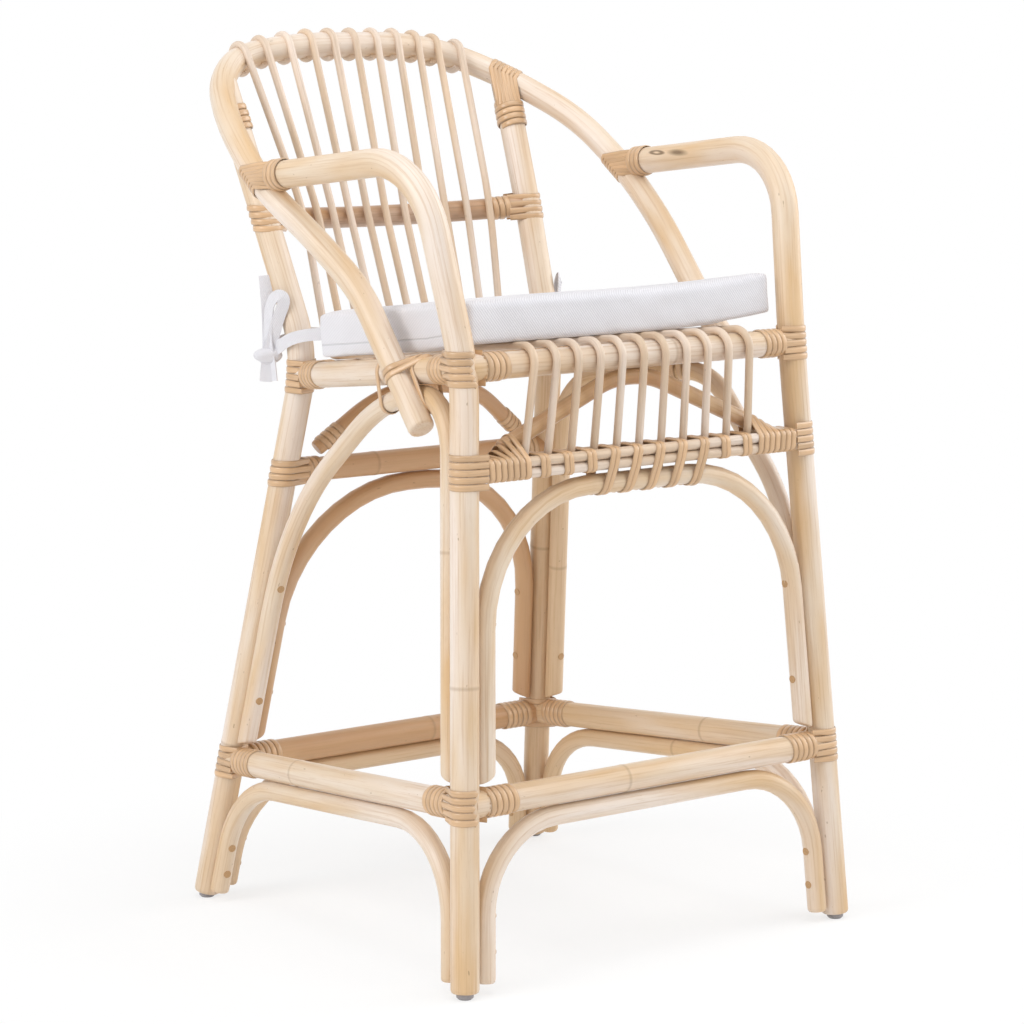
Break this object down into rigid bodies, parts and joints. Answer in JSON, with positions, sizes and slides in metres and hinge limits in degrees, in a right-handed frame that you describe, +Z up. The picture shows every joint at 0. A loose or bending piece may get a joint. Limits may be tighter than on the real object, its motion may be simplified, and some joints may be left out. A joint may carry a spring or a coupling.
{
  "type": "bar stool with footrest",
  "caption": "Peeled rattan bar stool with bent arms, a hooped slat back, arched braces, a ring of foot rails and a tied cotton seat cushion.",
  "frame": {"origin": "on the floor, under the middle of the stool's box", "axes": "+Z up, -Y towards the front of the seat, +X towards the right seen from the front"},
  "size_m": [0.5474, 0.5932, 0.9763],
  "materials": {
    "pole_rattan": "satin lacquer on peeled rattan",
    "tan_rattan": "satin lacquer on darker rattan",
    "slat_rattan": "satin lacquer on thin rattan rod",
    "cane_binding": "glossy cane skin strip",
    "plug_wood": "matte wood filler",
    "cotton": "off-white cotton twill",
    "foam": "open-cell foam",
    "grey_plastic": "matte"
  },
  "bodies": {
    "frame": {"apron_bindings": "cane_binding", "apron_rail_back": "pole_rattan", "apron_rods_front": "slat_rattan", "arch_crown_wraps": "cane_binding", "arm_wraps": "cane_binding", "back_crossbar": "tan_rattan", "back_hoop": "pole_rattan", "back_leg_left": "pole_rattan", "back_leg_right": "pole_rattan", "bundle_sleeves": "cane_binding", "bundle_strips": "cane_binding", "crossbar_wraps": "cane_binding", "floor_glides": "grey_plastic", "foot_bindings": "cane_binding", "foot_rail_back": "pole_rattan", "foot_rail_front": "pole_rattan", "foot_rail_left": "pole_rattan", "foot_rail_right": "pole_rattan", "front_leg_left": "pole_rattan", "front_leg_right": "pole_rattan", "inner_arch_back": "pole_rattan", "inner_arch_front": "pole_rattan", "inner_arch_wraps": "cane_binding", "lower_arch_back": "pole_rattan", "lower_arch_front": "pole_rattan", "lower_arch_left": "pole_rattan", "lower_arch_right": "pole_rattan", "nail_plugs": "plug_wood", "post_wraps": "cane_binding", "seat_bindings": "cane_binding", "seat_rail_back": "pole_rattan", "seat_rail_front": "pole_rattan", "seat_rail_left": "pole_rattan", "seat_rail_right": "pole_rattan", "side_lashings": "cane_binding", "slat_01": "slat_rattan", "slat_02": "slat_rattan", "slat_03": "slat_rattan", "slat_04": "slat_rattan", "slat_05": "slat_rattan", "slat_06": "slat_rattan", "slat_07": "slat_rattan", "slat_08": "slat_rattan", "slat_09": "slat_rattan", "slat_10": "slat_rattan", "slat_11": "slat_rattan", "tie_bow_left": "cotton", "tie_bow_right": "cotton", "tie_strap_left": "cotton", "tie_strap_right": "cotton", "upper_arch_back": "pole_rattan", "upper_arch_front": "pole_rattan", "upper_arch_left": "pole_rattan", "upper_arch_right": "pole_rattan"},
    "cushion": {"cushion_cover": "cotton", "cushion_foam": "foam"}
  },
  "joints": [
    {"name": "cushion_lift", "type": "hinge", "parent": "frame", "child": "cushion", "pos_m": [0, 0.0735, 0.673], "axis": [-1, 0, 0], "range_deg": [0, 70]}
  ]
}
